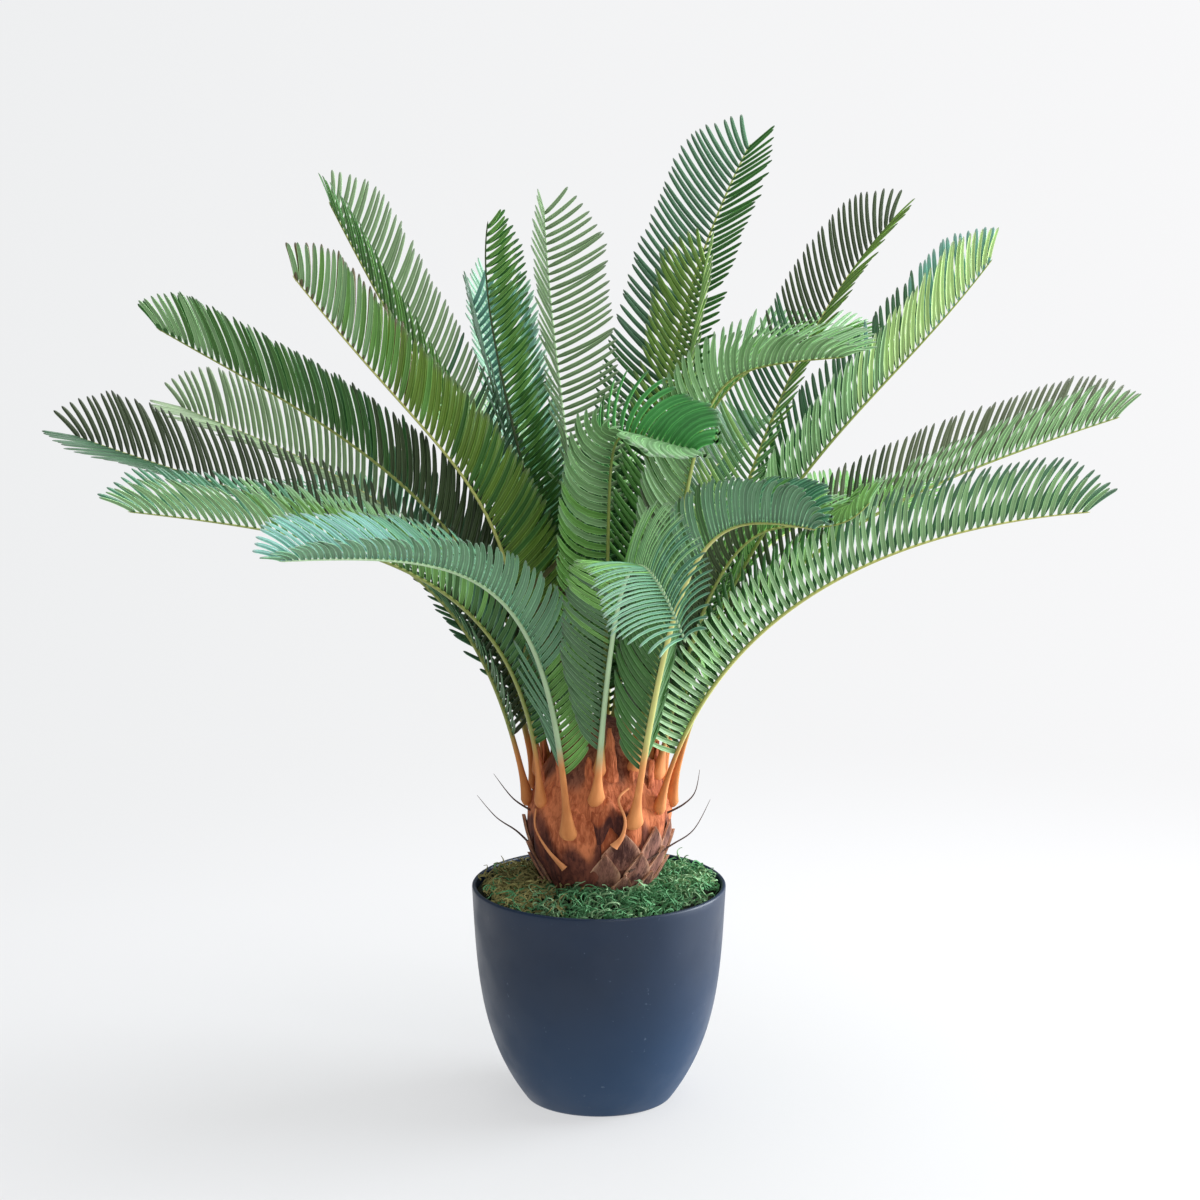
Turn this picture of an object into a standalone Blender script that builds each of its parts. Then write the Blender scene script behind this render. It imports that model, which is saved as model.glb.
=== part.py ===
"""An artificial sago palm, 0.9 m tall, in a round tapered pot.

Metres, +Z up. The origin is the centre of the pot's flat underside, and the front is -Y.
The pot, its filling, the moss, the bulb-shaped trunk and each frond are objects of their own.
A frond is a rib with two rows of flat leaflets. A frond that bends round a wide gap is cut at
its bend into a lower and an upper object.
"""

import math
from collections import namedtuple

import bpy
from mathutils import Vector, noise
from mathutils.bvhtree import BVHTree

# Clearance between neighbours
GAP = 0.0003

# Pot
POT_HEIGHT = 0.200
POT_BASE_RADIUS = 0.067
POT_RIM_RADIUS = 0.1155
POT_WALL = 0.0040
POT_FLOOR = 0.0060
POT_ROUND_SHARE = 0.80
POT_ROUND_POWER = 3.6
POT_SIDES = 40
POT_LEVELS = 9

# Filling and moss
FILL_TOP = 0.180
MOSS_RISE = 0.013
MOSS_MOUND = 0.009
MOSS_LUMP = 0.0025
MOSS_LUMPS_ROUND = 3.0
MOSS_RINGS = 4

# Trunk
TRUNK_FOOT_RADIUS = 0.037
TRUNK_WIDEST_RADIUS = 0.063
TRUNK_TOP_RADIUS = 0.024
TRUNK_WIDEST_Z = 0.258
TRUNK_TOP_Z = 0.345
TRUNK_SIDES = 24
SCALES_END_Z = 0.257
SCALE_LEVELS = 6
SCALE_DEPTH = 0.0022
SHOULDER_LEVELS = 5

# Ribs
STALK_WIDTH = 0.0088
RIB_WIDTH = 0.0064
RIB_TIP_WIDTH = 0.0018
FOOT_FLARE = 1.35
RIB_DEPTH_SHARE = 0.72
FLARE_LENGTH = 0.016
FOOT_REACH = 0.007
FOOT_GAP = 1.5 * GAP
FOOT_STEPS = 24
BARE_SHARE = 0.10
CURVE_STEPS = 64
AXIS_STEP = 0.02
BEND_STEPS = 24
BEND_TO_SPLIT = 58.0

# Leaflets
LEAFLET_PAIRS = 30
LEAFLET_LENGTH = 0.066
LEAFLET_FIRST = 0.50
LEAFLET_LAST = 0.50
FULL_FROM = 0.16
FULL_TO = 0.88
TAPER_POWER = 1.3
LEAN_LAST = 24.0
LAST_FROM = 0.92
TRY_LIFTS = (0.0, 9.0, -9.0, 18.0, -18.0, 28.0, -28.0)
TRY_LENGTHS = (1.0, 0.8, 0.6, 0.45, 0.3)
TIP_CLEARANCE = 0.002
TIP_OUTSIDE = 0.001

# Shading: edges flatter than this many degrees are smooth
SMOOTH_UNDER = 40.0

# One row a frond: where its foot is on the trunk (degrees round, height), the heading of its
# vertical plane, the angle and length of the first curve handle, the tip's reach and height,
# the angle and length of the last handle, how far the two rows are folded up from flat at
# foot and tip, the roll at foot and tip, the leaflets' lean from square to the rib at foot
# and tip, and their share of full length.
Frond = namedtuple(
    "Frond",
    "name at height heading rise rise_by reach top arrive arrive_by"
    " fold_foot fold_tip roll_foot roll_tip lean_foot lean_tip leaf",
)
FRONDS = [
    Frond("left_1", 176, 0.278, 172, 79, 0.24, 0.412, 0.600, 18, 0.28, 38, 36, 8, 40, 28, 42, 1.0),
    Frond("left_2", 157, 0.288, 153, 80, 0.25, 0.380, 0.610, 17, 0.17, 38, 38, 8, 36, 28, 42, 1.0),
    Frond("left_3", 154, 0.308, 165, 84, 0.24, 0.368, 0.692, 28, 0.16, 72, 72, -4, -4, 30, 44, 1.0),
    Frond("left_4", 170, 0.304, 177, 86, 0.28, 0.213, 0.746, 52, 0.25, 74, 74, -2, -2, 28, 42, 1.0),
    Frond("left_5", 137, 0.318, 155, 81, 0.20, 0.232, 0.805, 60, 0.20, 66, 56, -6, 14, 28, 42, 1.0),
    Frond("left_6", 128, 0.296, 132, 82, 0.24, 0.120, 0.715, 70, 0.16, 48, 48, 0, 0, 25, 39, 1.0),
    Frond("left_7", 214, 0.286, 190, 87, 0.20, 0.352, 0.556, 8, 0.23, 50, 50, 2, 2, 30, 44, 1.0),
    Frond("front_1", 246, 0.263, 232, 84, 0.24, 0.352, 0.556, 6, 0.24, 30, 52, -4, 22, 42, 56, 1.0),
    Frond("front_2", 272, 0.318, 312, 86, 0.36, 0.118, 0.614, -2, 0.14, 32, 38, -14, -38, 12, 50, 1.0),
    Frond("front_3", 268, 0.294, 281, 70, 0.24, 0.350, 0.507, -20, 0.22, 42, 35, -34, -35, 50, 24, 1.0),
    Frond("front_4", 298, 0.272, 292, 71, 0.30, 0.350, 0.588, 4, 0.20, 38, 74, -5, 0, 44, 56, 1.0),
    Frond("front_5", 346, 0.306, 332, 78, 0.34, 0.198, 0.564, 50, 0.09, 45, 45, 0, 0, 36, 50, 0.8),
    Frond("front_6", 312, 0.318, 319, 76, 0.38, 0.220, 0.697, 8, 0.18, 35, 35, -3, -3, 42, 54, 1.0),
    Frond("right_1", 28, 0.315, 26, 63, 0.21, 0.250, 0.790, 43, 0.19, 38, 38, -17, -17, 34, 48, 1.0),
    Frond("right_2", 14, 0.305, 11, 72, 0.29, 0.303, 0.757, 52, 0.18, 60, 70, -20, 5, 28, 42, 1.0),
    Frond("right_3", 6, 0.276, 11, 80, 0.21, 0.415, 0.614, 16, 0.25, 55, 60, -25, -8, 30, 44, 1.0),
    Frond("right_4", 328, 0.280, 351, 78, 0.16, 0.367, 0.555, 6, 0.20, 55, 60, -8, -4, 25, 39, 1.0),
    Frond("right_5", 46, 0.318, 25, 79, 0.25, 0.235, 0.672, -7, 0.20, 42, 42, -6, -6, 40, 54, 1.0),
    Frond("top_1", 120, 0.325, 165, 84, 0.20, 0.080, 0.791, 99, 0.10, 76, 76, 0, 0, 24, 36, 0.64),
    Frond("top_2", 100, 0.318, 118, 88, 0.20, 0.089, 0.800, 85, 0.15, 46, 46, -6, -6, 10, 24, 0.93),
    Frond("top_3", 74, 0.322, 48, 82, 0.25, 0.190, 0.856, 50, 0.16, 33, 33, -10, -10, 22, 36, 1.05),
    Frond("top_4", 52, 0.334, 24, 80, 0.18, 0.080, 0.757, 80, 0.08, 33, 33, -11, -11, 32, 46, 1.0),
    Frond("top_5", 112, 0.302, 115, 79, 0.22, 0.200, 0.725, 78, 0.14, 40, 40, 0, 0, 25, 39, 0.9),
    Frond("back_1", 28, 0.282, 50, 78, 0.22, 0.400, 0.490, -12, 0.18, 40, 40, 0, 0, 28, 42, 1.0),
    Frond("back_2", 50, 0.278, 72, 76, 0.24, 0.400, 0.560, 0, 0.18, 40, 40, 0, 0, 28, 42, 1.0),
    Frond("back_3", 82, 0.280, 92, 78, 0.22, 0.410, 0.520, -8, 0.18, 40, 40, 0, 0, 28, 42, 1.0),
    Frond("back_4", 106, 0.276, 112, 76, 0.24, 0.400, 0.570, 2, 0.18, 40, 40, 0, 0, 28, 42, 1.0),
    Frond("back_5", 142, 0.278, 135, 78, 0.22, 0.400, 0.490, -12, 0.18, 40, 40, 0, 0, 28, 42, 1.0),
]

COLOURS = {
    "pot": ((0.035, 0.055, 0.085), 0.50),
    "filling": ((0.30, 0.27, 0.23), 0.95),
    "moss": ((0.07, 0.15, 0.05), 0.95),
    "trunk": ((0.13, 0.045, 0.025), 0.90),
    "frond": ((0.05, 0.17, 0.06), 0.45),
}


def clear_scene():
    for thing in list(bpy.data.objects):
        bpy.data.objects.remove(thing, do_unlink=True)


def material(kind):
    """One Principled material for each kind of sub-part."""
    found = bpy.data.materials.get(kind)
    if found:
        return found
    made = bpy.data.materials.new(kind)
    made.use_nodes = True
    shader = made.node_tree.nodes["Principled BSDF"]
    colour, roughness = COLOURS[kind]
    shader.inputs["Base Color"].default_value = (*colour, 1.0)
    shader.inputs["Roughness"].default_value = roughness
    shader.inputs["Metallic"].default_value = 0.0
    return made


def add_object(name, kind, points, faces):
    mesh = bpy.data.meshes.new(name)
    mesh.from_pydata([tuple(p) for p in points], [], faces)
    mesh.validate()
    mesh.materials.append(material(kind))
    mesh.shade_smooth()
    mesh.set_sharp_from_angle(angle=math.radians(SMOOTH_UNDER))
    made = bpy.data.objects.new(name, mesh)
    bpy.context.scene.collection.objects.link(made)
    return made


def ring(radius, z, sides, shape=None):
    """One ring of points round the axis. shape gives (radius, z) for each point's number."""
    points = []
    for i in range(sides):
        turn = 2 * math.pi * i / sides
        r, height = shape(i, radius, z) if shape else (radius, z)
        points.append(Vector((r * math.cos(turn), r * math.sin(turn), height)))
    return points


def turned(rings, joined_ends=False):
    """Points and faces of rings joined in order, closed by flat ends or into a loop."""
    sides = len(rings[0])
    points = [p for one in rings for p in one]
    faces = []
    count = len(rings)
    for level in range(count if joined_ends else count - 1):
        low = level * sides
        high = ((level + 1) % count) * sides
        for i in range(sides):
            j = (i + 1) % sides
            faces.append((low + i, low + j, high + j, high + i))
    if not joined_ends:
        faces.append(tuple(reversed(range(sides))))
        faces.append(tuple(range((count - 1) * sides, count * sides)))
    return points, faces


def pot_radius(z):
    """The pot's outer radius: round at the foot, then nearly straight to the rim."""
    u = max(0.0, min(1.0, z / POT_HEIGHT))
    swell = 1 - (1 - u) ** POT_ROUND_POWER
    share = POT_ROUND_SHARE * swell + (1 - POT_ROUND_SHARE) * u
    return POT_BASE_RADIUS + (POT_RIM_RADIUS - POT_BASE_RADIUS) * share


def level_heights(low, high, levels, power=1.5):
    """Heights from low to high, closer together near the low end."""
    return [low + (high - low) * (k / levels) ** power for k in range(levels + 1)]


def make_pot():
    outside = [ring(pot_radius(z), z, POT_SIDES) for z in level_heights(0, POT_HEIGHT, POT_LEVELS)]
    inner_heights = list(reversed(level_heights(POT_FLOOR, POT_HEIGHT, POT_LEVELS)))
    inside = [ring(pot_radius(z) - POT_WALL, z, POT_SIDES) for z in inner_heights]
    add_object("pot", "pot", *turned(outside + inside))


def make_filling():
    low = POT_FLOOR + GAP
    heights = level_heights(low, FILL_TOP, POT_LEVELS)
    shrink = POT_WALL + 2 * GAP
    rings = [ring(pot_radius(z) - shrink, z, POT_SIDES) for z in heights]
    add_object("pot_filling", "filling", *turned(rings))


def trunk_radius(z):
    """The bulb's radius: it swells from the moss to its widest and closes as a dome."""
    if z < TRUNK_WIDEST_Z:
        u = (z - FILL_TOP) / (TRUNK_WIDEST_Z - FILL_TOP)
        swell = math.sin(math.pi / 2 * max(0.0, u))
        return TRUNK_FOOT_RADIUS + (TRUNK_WIDEST_RADIUS - TRUNK_FOOT_RADIUS) * swell
    u = min(1.0, (z - TRUNK_WIDEST_Z) / (TRUNK_TOP_Z - TRUNK_WIDEST_Z))
    return TRUNK_TOP_RADIUS + (TRUNK_WIDEST_RADIUS - TRUNK_TOP_RADIUS) * (1 - u * u)


def make_trunk():
    """The bulb, with the diamonds of its leaf bases pressed in below the shoulder."""
    low = FILL_TOP + GAP
    rings = []
    for level in range(SCALE_LEVELS + 1):
        z = low + (SCALES_END_Z - low) * level / SCALE_LEVELS

        def pressed(i, radius, height, level=level):
            return radius - SCALE_DEPTH * ((i + level) % 2), height

        rings.append(ring(trunk_radius(z), z, TRUNK_SIDES, pressed))
    for level in range(1, SHOULDER_LEVELS + 1):
        z = SCALES_END_Z + (TRUNK_TOP_Z - SCALES_END_Z) * level / SHOULDER_LEVELS
        rings.append(ring(trunk_radius(z), z, TRUNK_SIDES))
    add_object("trunk", "trunk", *turned(rings))


def moss_top(turn, share):
    """The height of the moss. share runs from 0 at the trunk to 1 at the pot's wall."""
    spot = Vector((math.cos(turn), math.sin(turn), 2 * share)) * MOSS_LUMPS_ROUND
    rise = MOSS_RISE + MOSS_MOUND * (1 - share) ** 2
    return FILL_TOP + GAP + rise + MOSS_LUMP * noise.noise(spot)


def moss_ring(share, upper):
    points = []
    for i in range(POT_SIDES):
        turn = 2 * math.pi * i / POT_SIDES
        z = moss_top(turn, share) if upper else FILL_TOP + GAP
        inner = trunk_radius(z) + 2 * GAP
        outer = pot_radius(z) - POT_WALL - 3 * GAP
        r = inner + (outer - inner) * share
        points.append(Vector((r * math.cos(turn), r * math.sin(turn), z)))
    return points


def make_moss():
    """A lumpy collar of moss between the pot's wall and the trunk."""
    rings = [moss_ring(0, False), moss_ring(1, False)]
    rings += [moss_ring(1 - k / (MOSS_RINGS - 1), True) for k in range(MOSS_RINGS)]
    add_object("moss", "moss", *turned(rings, joined_ends=True))


def trunk_foot(frond):
    """The middle of the stalk's foot, which lies against the bulb with its inner face."""
    turn = math.radians(frond.at)
    r = trunk_radius(frond.height) + STALK_WIDTH / 2 * RIB_DEPTH_SHARE * FOOT_FLARE + GAP
    return Vector((r * math.cos(turn), r * math.sin(turn), frond.height))


def direction(heading, angle):
    """A unit vector in the vertical plane of heading, raised by angle. Both are in degrees."""
    turn, up = math.radians(heading), math.radians(angle)
    return Vector((math.cos(turn) * math.cos(up), math.sin(turn) * math.cos(up), math.sin(up)))


def between(low, high, share):
    return low + (high - low) * share


class Rib:
    """The middle line of a frond, read by the share of its length."""

    def __init__(self, frond):
        self.frond = frond
        start = trunk_foot(frond)
        out = direction(frond.heading, 0)
        end = start + out * frond.reach
        end.z = frond.top
        first = start + direction(frond.heading, frond.rise) * frond.rise_by
        last = end - direction(frond.heading, frond.arrive) * frond.arrive_by
        self.points = []
        for k in range(CURVE_STEPS + 1):
            t = k / CURVE_STEPS
            s = 1 - t
            self.points.append(
                start * s**3 + first * 3 * s * s * t + last * 3 * s * t * t + end * t**3
            )
        self.reached = [0.0]
        for a, b in zip(self.points, self.points[1:]):
            self.reached.append(self.reached[-1] + (b - a).length)
        self.length = self.reached[-1]

    def place(self, share):
        want = max(0.0, min(1.0, share)) * self.length
        k = 0
        while k < CURVE_STEPS - 1 and self.reached[k + 1] < want:
            k += 1
        step = self.reached[k + 1] - self.reached[k]
        return self.points[k].lerp(self.points[k + 1], (want - self.reached[k]) / step)

    def axes(self, share):
        """Along, side and up at a share of the length, with the frond's roll in them."""
        along = (self.place(share + AXIS_STEP) - self.place(share - AXIS_STEP)).normalized()
        heading = math.radians(self.frond.heading)
        right = Vector((math.sin(heading), -math.cos(heading), 0))
        right = (right - along * right.dot(along)).normalized()
        up = right.cross(along)
        turn = math.radians(between(self.frond.roll_foot, self.frond.roll_tip, share))
        return (
            along,
            right * math.cos(turn) + up * math.sin(turn),
            up * math.cos(turn) - right * math.sin(turn),
        )

    def bend(self):
        """How far the rib turns in all, in degrees, and the share at which half is done."""
        ways = [self.axes(k / BEND_STEPS)[0] for k in range(BEND_STEPS + 1)]
        turns = [math.degrees(a.angle(b)) for a, b in zip(ways, ways[1:])]
        total, done = sum(turns), 0.0
        for k, turn in enumerate(turns):
            done += turn
            if done > total / 2:
                return total, (k + 1) / BEND_STEPS
        return total, 0.5


def rib_width(share):
    """Thick at the stalk, thinner where the leaflets start, and fine at the tip."""
    if share < BARE_SHARE:
        return STALK_WIDTH + (RIB_WIDTH - STALK_WIDTH) * share / BARE_SHARE
    u = (share - BARE_SHARE) / (1 - BARE_SHARE)
    return RIB_WIDTH + (RIB_TIP_WIDTH - RIB_WIDTH) * u


def section(rib, share, flare=1.0):
    """The rib's four corners: upper right, upper left, lower left, lower right."""
    middle = rib.place(share)
    _, side, up = rib.axes(share)
    half = rib_width(share) / 2 * flare
    deep = half * RIB_DEPTH_SHARE
    return [
        middle + side * half + up * deep,
        middle - side * half + up * deep,
        middle - side * half - up * deep,
        middle + side * half - up * deep,
    ]


def stand_on_trunk(corners, along):
    """Slides each corner back along the rib until it is a gap clear of the bulb."""
    seated = []
    for corner in corners:
        low, high = -FOOT_REACH, FOOT_REACH
        for _ in range(FOOT_STEPS):
            middle = (low + high) / 2
            spot = corner + along * middle
            clear = math.hypot(spot.x, spot.y) > trunk_radius(spot.z) + FOOT_GAP
            if clear:
                high = middle
            else:
                low = middle
        seated.append(corner + along * high)
    return seated


def leaflet_length(share):
    """Short at both ends of the row and full length between."""
    size = 1.0
    if share < FULL_FROM:
        size = LEAFLET_FIRST + (1 - LEAFLET_FIRST) * math.sin(math.pi / 2 * share / FULL_FROM)
    elif share > FULL_TO:
        size = 1 - (1 - LEAFLET_LAST) * ((share - FULL_TO) / (1 - FULL_TO)) ** TAPER_POWER
    return LEAFLET_LENGTH * size


def leaflet_lean(frond, share):
    """Degrees from square to the rib towards its tip. The last few close in on the tip."""
    last = max(0.0, (share - LAST_FROM) / (1 - LAST_FROM))
    return between(frond.lean_foot, frond.lean_tip, share) + LEAN_LAST * last**2


def leaflet_tip(rib, share, row_share, hand, lift_more, size):
    """The point of a leaflet. hand is 1 for the right row and -1 for the left."""
    frond = rib.frond
    along, side, up = rib.axes(share)
    lift = math.radians(between(frond.fold_foot, frond.fold_tip, share) + lift_more)
    lean = math.radians(leaflet_lean(frond, row_share))
    out = side * hand * math.cos(lift) + up * math.sin(lift)
    way = out * math.cos(lean) + along * math.sin(lean)
    return rib.place(share) + way * leaflet_length(row_share) * frond.leaf * size


def rib_faces(count):
    """The side faces of a rib of count sections, by (section, side), and its two ends."""
    sides = {}
    for k in range(count - 1):
        for side in range(4):
            a, b = 4 * k + side, 4 * k + (side + 1) % 4
            sides[k, side] = (b, a, a + 4, b + 4)
    last = 4 * (count - 1)
    ends = [(0, 1, 2, 3), (last + 3, last + 2, last + 1, last)]
    return sides, ends


PITCH = (1 - BARE_SHARE) / LEAFLET_PAIRS
RIGHT, LEFT = 3, 1
LEAFLET_FACES = [(0, 1, 4), (1, 2, 4), (2, 3, 4), (3, 0, 4)]


class Blade:
    """One object of a frond: a stretch of its rib, with the leaflets from first to last on it."""

    def __init__(self, rib, name, first, last):
        self.rib, self.name = rib, name
        self.shares = [BARE_SHARE + PITCH * k for k in range(first, last + 1)]
        self.rows = {k: (first + k + 0.5) / LEAFLET_PAIRS for k in range(last - first)}
        along = rib.axes(self.shares[0])[0]
        sections = [section(rib, share) for share in self.shares]
        if first == 0:
            foot = stand_on_trunk(section(rib, 0.0, FOOT_FLARE), rib.axes(0.0)[0])
            self.shares = [0.0, FLARE_LENGTH / rib.length, *self.shares]
            sections = [foot, section(rib, self.shares[1]), *sections]
            self.rows = {k + 2: share for k, share in self.rows.items()}
        else:
            sections[0] = [corner + along * GAP for corner in sections[0]]
        self.points = [corner for corners in sections for corner in corners]
        self.sides, self.ends = rib_faces(len(sections))

    def faces(self):
        return list(self.sides.values()) + self.ends

    def crosses(self, grown, root, own, own_faces):
        """Whether a leaflet crosses a face of its own blade that it shares no corner with."""
        for number, other in grown.overlap(own):
            corners = {root[i] for i in LEAFLET_FACES[number][:2]}
            if not corners & set(own_faces[other]):
                return True
        return False

    def leaflet(self, section_number, hand, tree):
        """The tip of the leaflet that touches nothing in tree or in its own blade, or None."""
        share = (self.shares[section_number] + self.shares[section_number + 1]) / 2
        row_share = self.rows[section_number]
        root = self.sides[section_number, RIGHT if hand > 0 else LEFT]
        corners = [self.points[i] for i in root]
        own_faces = self.faces()
        own = BVHTree.FromPolygons(self.points, own_faces)
        middle = self.rib.place(share)
        outward = self.rib.axes(share)[1] * hand
        least = rib_width(share) / 2 + TIP_OUTSIDE
        for size in TRY_LENGTHS:
            for more in TRY_LIFTS:
                tip = leaflet_tip(self.rib, share, row_share, hand, more, size)
                if (tip - middle).dot(outward) < least:
                    continue
                reach = tip + (tip - middle).normalized() * TIP_CLEARANCE
                grown = BVHTree.FromPolygons([*corners, reach], LEAFLET_FACES)
                if not grown.overlap(tree) and not self.crosses(grown, root, own, own_faces):
                    return tip
        return None

    def grow(self, tree):
        """Adds the leaflets, then the object. Each leaflet is drawn out of its own rib face."""
        for number in sorted(self.rows):
            for hand, side in ((1, RIGHT), (-1, LEFT)):
                tip = self.leaflet(number, hand, tree)
                if tip is None:
                    continue
                face = self.sides.pop((number, side))
                top = len(self.points)
                self.points.append(tip)
                for k in range(4):
                    self.sides[number, side, k] = (face[k], face[(k + 1) % 4], top)
        return add_object(self.name, "frond", self.points, self.faces())


def blades_of(frond):
    """The frond's objects: one, or a lower and an upper one where it bends far."""
    rib = Rib(frond)
    name = "frond_" + frond.name
    total, middle = rib.bend()
    if total < BEND_TO_SPLIT:
        return [Blade(rib, name, 0, LEAFLET_PAIRS)]
    cut = round((middle - BARE_SHARE) / PITCH)
    return [Blade(rib, name + "_lower", 0, cut), Blade(rib, name + "_upper", cut, LEAFLET_PAIRS)]


def gathered(meshes):
    """One search tree of several lists of points and faces."""
    points, faces = [], []
    for some, more in meshes:
        base = len(points)
        points += some
        faces += [tuple(base + i for i in face) for face in more]
    return BVHTree.FromPolygons(points, faces)


def mesh_of(thing):
    mesh = thing.data
    return [v.co.copy() for v in mesh.vertices], [tuple(f.vertices) for f in mesh.polygons]


def make_fronds():
    """Grows every blade. A leaflet that would touch another blade is turned, cut short or left out."""
    blades = [blade for frond in FRONDS for blade in blades_of(frond)]
    bare = {blade.name: (blade.points[:], blade.faces()) for blade in blades}
    grown = [mesh_of(bpy.data.objects[name]) for name in ("trunk", "moss", "pot")]
    for blade in blades:
        del bare[blade.name]
        tree = gathered(grown + list(bare.values()))
        grown.append(mesh_of(blade.grow(tree)))


def main():
    clear_scene()
    make_pot()
    make_filling()
    make_trunk()
    make_moss()
    make_fronds()


main()
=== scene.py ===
import random
from collections import namedtuple
from math import cos, exp, hypot, pi, radians, remainder, sin, sqrt, tau

import bpy
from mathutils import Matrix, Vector, noise
from mathutils.bvhtree import BVHTree


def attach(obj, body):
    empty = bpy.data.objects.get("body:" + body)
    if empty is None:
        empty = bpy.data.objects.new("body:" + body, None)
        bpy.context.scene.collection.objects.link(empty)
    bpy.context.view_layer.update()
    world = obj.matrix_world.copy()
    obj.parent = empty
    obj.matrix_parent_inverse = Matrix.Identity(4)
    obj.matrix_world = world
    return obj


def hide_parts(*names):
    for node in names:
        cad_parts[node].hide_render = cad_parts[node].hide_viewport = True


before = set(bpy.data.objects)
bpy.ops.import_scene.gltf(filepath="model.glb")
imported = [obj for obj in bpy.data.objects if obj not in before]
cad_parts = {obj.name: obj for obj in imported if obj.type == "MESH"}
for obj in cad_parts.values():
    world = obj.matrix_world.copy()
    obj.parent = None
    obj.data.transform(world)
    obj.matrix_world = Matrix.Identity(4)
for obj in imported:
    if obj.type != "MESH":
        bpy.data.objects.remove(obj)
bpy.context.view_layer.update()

# Sizes that the solids have too
POT_HEIGHT = 0.2
POT_BASE_RADIUS = 0.067
POT_RIM_RADIUS = 0.1155
POT_WALL = 0.004
POT_ROUND_SHARE = 0.8
POT_ROUND_POWER = 3.6
FILL_TOP = 0.18
MOSS_RISE = 0.013
MOSS_MOUND = 0.009
TRUNK_FOOT_RADIUS = 0.037
TRUNK_WIDEST_RADIUS = 0.063
TRUNK_TOP_RADIUS = 0.024
TRUNK_WIDEST_Z = 0.258
TRUNK_TOP_Z = 0.345
STALK_WIDTH = 0.0088
RIB_WIDTH = 0.0064
RIB_TIP_WIDTH = 0.0018
RIB_DEPTH_SHARE = 0.72
FOOT_FLARE = 1.35
BARE_SHARE = 0.1
LEAFLET_LENGTH = 0.066
LEAFLET_FIRST = 0.5
LEAFLET_LAST = 0.5
FULL_FROM = 0.16
FULL_TO = 0.88
TAPER_POWER = 1.3
LEAN_LAST = 24.0
LAST_FROM = 0.92
CURVE_STEPS = 64
AXIS_STEP = 0.02

# Finer sizes
LEAFLET_PITCH = 0.0069
LEAFLET_WIDTH = 0.0043
LEAFLET_THICK = 0.00045
LEAFLET_ARCH = 0.27
LEAFLET_STATIONS = (0.0, 0.06, 0.15, 0.32, 0.52, 0.7, 0.84, 0.93, 0.98, 1.0)
# The points round a leaflet: how far across, from -1 to 1, and how many thicknesses off its middle
LEAFLET_OVER = (-1.0, -0.5, 0.0, 0.5, 1.0)
LEAFLET_SECTION = [(u, 0.5) for u in LEAFLET_OVER] + [(u, -0.5) for u in LEAFLET_OVER[::-2]]
TWIST = 6.0
TRY_LIFTS = (0, 6, -6, 12, -12, 18, -18, 26, -26)
TRY_LENGTHS = (1.0, 0.85, 0.65, 0.45)
RIB_SIDES = 10
RIB_STATIONS = 72
RIB_BACK_SHARE = 0.8
CLUB_LENGTH = 0.034
CLUB_FLARE = 2.15
# The rings that round off a rib's foot: their share of its width, and how far back they stand
CLUB_END = ((0.25, 0.007), (0.62, 0.0058), (0.87, 0.0032))

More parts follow.
